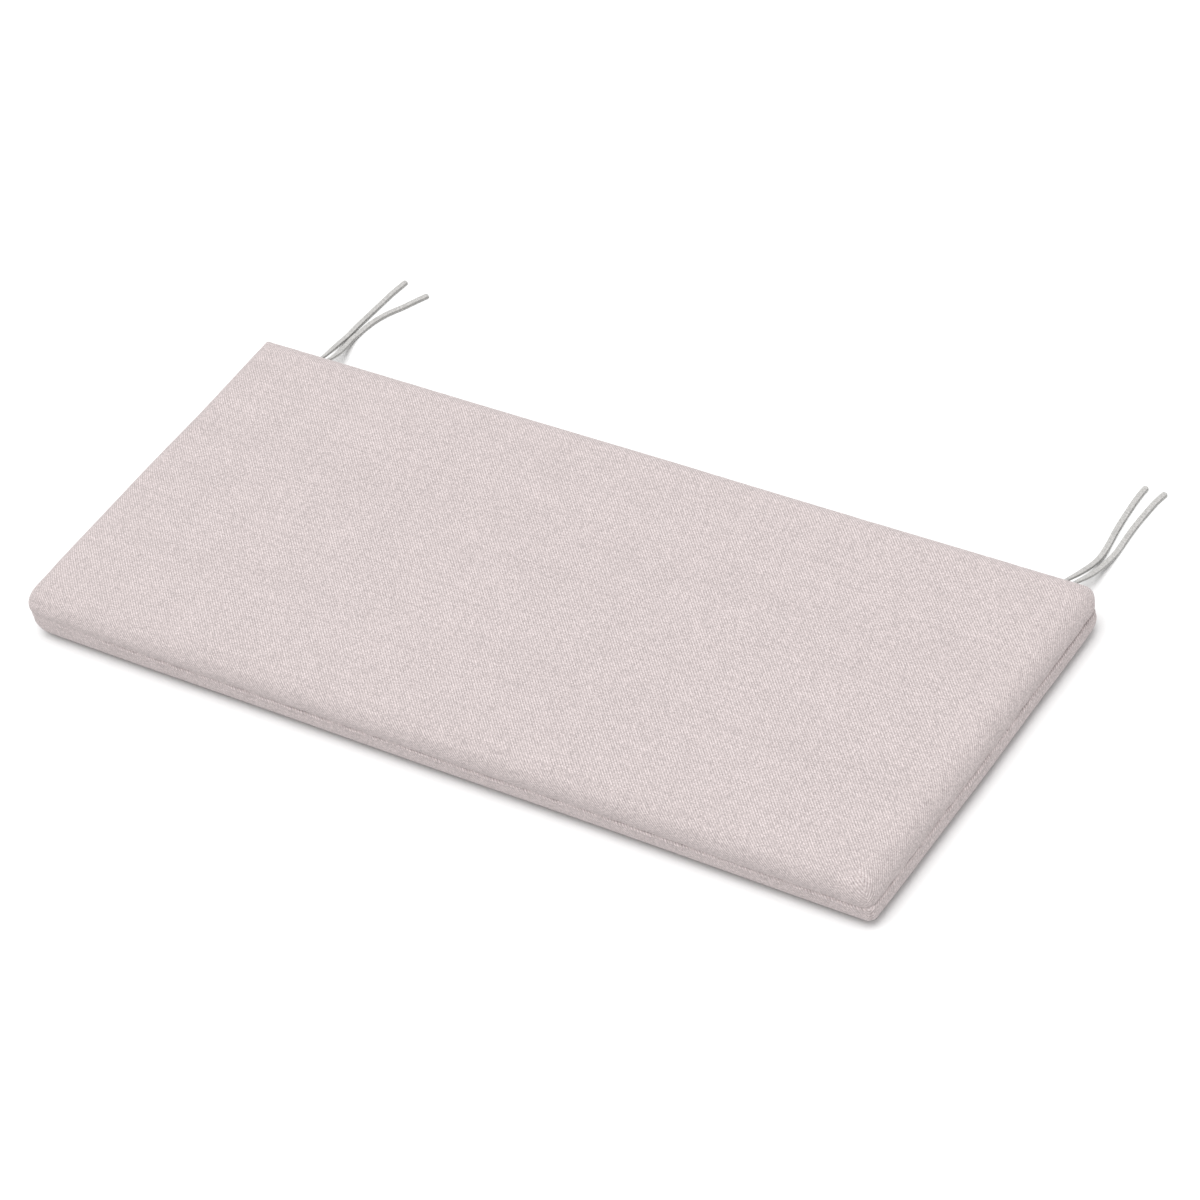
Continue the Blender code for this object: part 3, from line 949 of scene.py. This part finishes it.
def make_tie(node, rows, fabric):
    path = tie_path(rows)
    distances = travelled(path)
    rings = tie_rings(path, distances)
    count = TIE_SIDES
    faces = side_quads(len(rings), count).reshape(-1, 4)[:, ::-1].tolist()
    faces.append(list(range(count)))
    faces.append(list(range((len(rings) - 1) * count, len(rings) * count))[::-1])
    round_it = travelled(np.column_stack(tie_section(TIE_WIDTH / 2, TIE_THICKNESS / 2)))
    places = np.zeros((len(rings), count + 1, 3))
    places[..., 0] = round_it
    places[..., 1] = distances[:, None]
    # The third number is the distance round the section from the sewn edge, which sets the painted shade
    # along that side.
    places[..., 2] = np.minimum(round_it, round_it[-1] - round_it)
    sides = cell_corners(places)[:, :, ::-1].reshape(-1, 3)
    corner_values = [sides, places[0, :count], places[-1, :count][::-1]]
    tail = make_object(node + "_cloth", rings[:, :count].reshape(-1, 3), faces, np.vstack(corner_values))
    tail.data.materials.append(fabric)
    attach(tail, "root")
    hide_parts(node)


# ---------------------------------------------------------------------------------------------------
# Fabrics
# ---------------------------------------------------------------------------------------------------

class Looks:
    """A material and short ways to add nodes to it."""

    def __init__(self, name):
        self.material = bpy.data.materials.new(name)
        self.material.use_nodes = True
        self.nodes = self.material.node_tree.nodes
        self.shader = self.nodes["Principled BSDF"]

    def put(self, value, socket):
        """Give a socket a value, or the output of another node."""
        if isinstance(value, bpy.types.NodeSocket):
            self.material.node_tree.links.new(value, socket)
        else:
            socket.default_value = value

    def node(self, kind, inputs, **settings):
        node = self.nodes.new("ShaderNode" + kind)
        for key, value in settings.items():
            setattr(node, key, value)
        for key, value in inputs.items():
            self.put(value, node.inputs[key])
        return node

    def math(self, operation, *values):
        return self.node("Math", dict(enumerate(values)), operation=operation).outputs[0]

    def mix(self, share, low, high):
        """A mix of two colours. A Mix node has sockets for numbers and vectors before those for colours."""
        node = self.nodes.new("ShaderNodeMix")
        node.data_type = "RGBA"
        for value, socket in ((share, 0), (low, 6), (high, 7)):
            self.put(value, node.inputs[socket])
        return node.outputs[2]

    def scaled(self, colour, factor):
        """A colour times a number."""
        node = self.nodes.new("ShaderNodeVectorMath")
        node.operation = "SCALE"
        self.put(colour, node.inputs[0])
        self.put(factor, node.inputs["Scale"])
        return node.outputs[0]

    def vector(self, x, y, z=0.0):
        return self.node("CombineXYZ", {0: x, 1: y, 2: z}).outputs[0]

    def chance(self, x, y, z=0.0):
        """An even random number from 0 to 1 that depends only on x, y and z."""
        return self.node("TexWhiteNoise", {"Vector": self.vector(x, y, z)}).outputs["Value"]

    def around_one(self, value, spread):
        """A number from 0 to 1 turned into a factor, which lies within half of spread from 1."""
        return self.math("MULTIPLY_ADD", value, spread, 1 - spread / 2)


def thread_set(looks, thread, across, run, kind):
    """One set of parallel threads: its height from 0 to 1, and its colour's factor.

    thread is each thread's number, across the place over the threads and run the place along them, both
    in threads, and kind tells the two sets' random numbers apart.
    """
    profile = looks.math("SINE", looks.math("MULTIPLY", looks.math("SUBTRACT", across, thread), math.pi))
    in_repeat = looks.math("FLOORED_MODULO", run, TWILL_REPEAT)
    turn = looks.math("MULTIPLY", in_repeat, 2 * math.pi / TWILL_REPEAT)
    hump = looks.math("ABSOLUTE", looks.math("SINE", turn))
    hump = looks.math("MULTIPLY_ADD", hump, HUMP_RISE, LEAST_HUMP)
    height = looks.math("MULTIPLY", profile, hump)
    float_number = looks.math("FLOOR", looks.math("DIVIDE", run, TWILL_REPEAT))
    of_float = looks.chance(thread, float_number, FLOAT_CHANCE + kind)
    of_thread = looks.chance(thread, THREAD_CHANCE + kind)
    factor = looks.math("MULTIPLY", looks.around_one(of_float, FLOAT_COLOUR_SPREAD),
                        looks.around_one(of_thread, THREAD_COLOUR_SPREAD))
    return height, factor


def twill(looks, pitch, warp_colour, weft_colour):
    """Two over two twill: its colour, with painted shade between the threads, its height from 0 to 1, and
    the third number of its places.
    """
    weave = looks.node("Attribute", {}, attribute_name="weave").outputs["Vector"]
    place = looks.node("SeparateXYZ", {0: weave})
    u = looks.math("DIVIDE", place.outputs[0], pitch[0])
    v = looks.math("DIVIDE", place.outputs[1], pitch[1])
    column = looks.math("FLOOR", u)
    row = looks.math("FLOOR", v)
    step = looks.math("FLOORED_MODULO", looks.math("ADD", column, row), TWILL_REPEAT)
    warp_up = looks.math("LESS_THAN", step, TWILL_REPEAT / 2)
    warp_height, warp_factor = thread_set(looks, column, u, looks.math("ADD", column, v), 0.0)
    weft_height, weft_factor = thread_set(looks, row, v, looks.math("ADD", row, u), 1.0)
    height = looks.mix(warp_up, weft_height, warp_height)
    height = looks.math("POWER", looks.math("MAXIMUM", height, 0.0), RELIEF_POWER)
    warp = looks.scaled(warp_colour, warp_factor)
    weft = looks.scaled(weft_colour, weft_factor)
    colour = looks.mix(warp_up, weft, warp)
    # Painted shade: darker between the threads, where the weave is low.
    colour = looks.scaled(colour, looks.math("MULTIPLY_ADD", height, SHADE_RISE, SHADE_BETWEEN_THREADS))
    return colour, height, place.outputs[2]


def finish_fabric(looks, colour, height, relief):
    normal = looks.node("Bump", {"Height": height, "Distance": relief, "Strength": BUMP_STRENGTH})
    roughness = looks.math("MULTIPLY_ADD", height, ROUGHNESS_RISE, ROUGHNESS)
    inputs = looks.shader.inputs
    looks.put(colour, inputs["Base Color"])
    looks.put(normal.outputs["Normal"], inputs["Normal"])
    looks.put(roughness, inputs["Roughness"])
    inputs["Specular IOR Level"].default_value = SPECULAR_LEVEL
    inputs["Sheen Weight"].default_value = SHEEN_WEIGHT
    inputs["Sheen Roughness"].default_value = SHEEN_ROUGHNESS
    return looks.material


def painted_seam_shade(looks, place, from_seam):
    """How dark the painted shade along the seam's groove is, in broken dashes: 0 away from it and where the
    fabric hides the seam.
    """
    off_seam = looks.math("POWER", looks.math("DIVIDE", from_seam, SEAM_HALF_WIDTH), 2.0)
    near = looks.math("EXPONENT", looks.math("MULTIPLY", off_seam, -1.0))
    noise = {"Vector": place, "Scale": DASH_SCALE, "Detail": DASH_DETAIL}
    dash = looks.math("SUBTRACT", looks.node("TexNoise", noise).outputs[0], DASH_LIMIT)
    dash = looks.math("SMOOTH_MAX", dash, 0.0, DASH_SOFTNESS)
    dash = looks.math("MULTIPLY_ADD", dash, DASH_STRENGTH, LEAST_DASH)
    apart = looks.node("VectorMath", {0: place, 1: HIDDEN_SEAM_END}, operation="DISTANCE").outputs["Value"]
    seen = looks.node("MapRange", {0: apart, 1: HIDDEN_SEAM_REACH[0], 2: HIDDEN_SEAM_REACH[1]}).outputs[0]
    return looks.math("MULTIPLY", near, looks.math("MULTIPLY", dash, seen))


def cover_fabric():
    looks = Looks("cover_weave")
    colour, height, from_seam = twill(looks, THREAD_PITCH, WARP_COLOUR, WEFT_COLOUR)
    place = looks.node("TexCoord", {}).outputs["Object"]
    # Painted shade along the seam's groove, times a faint mottle that is the fabric's own tone.
    shade = looks.math("SUBTRACT", 1.0, painted_seam_shade(looks, place, from_seam))
    noise = {"Vector": place, "Scale": MOTTLE_SCALE, "Detail": MOTTLE_DETAIL}
    mottle = looks.node("TexNoise", noise).outputs[0]
    shade = looks.math("MULTIPLY", shade, looks.around_one(mottle, MOTTLE_SPREAD))
    return finish_fabric(looks, looks.scaled(colour, shade), height, COVER_RELIEF)


def tie_fabric():
    looks = Looks("tie_weave")
    colour, height, from_edge = twill(looks, TIE_THREAD_PITCH, TIE_WARP_COLOUR, TIE_WEFT_COLOUR)
    # Painted shade along the tail's sewn side, fading with the distance from its edge.
    shade = looks.math("MULTIPLY_ADD", from_edge, EDGE_SHADE_SLOPE, EDGE_SHADE)
    shade = looks.math("SMOOTH_MIN", shade, 1.0, EDGE_SHADE_SOFTNESS)
    return finish_fabric(looks, looks.scaled(colour, shade), height, TIE_RELIEF)


make_camera()
tie_material = tie_fabric()
for tie_node, tie_rows in TIE_ROUTES.items():
    make_tie(tie_node, tie_rows, tie_material)
make_light()
make_floor()
make_cover()
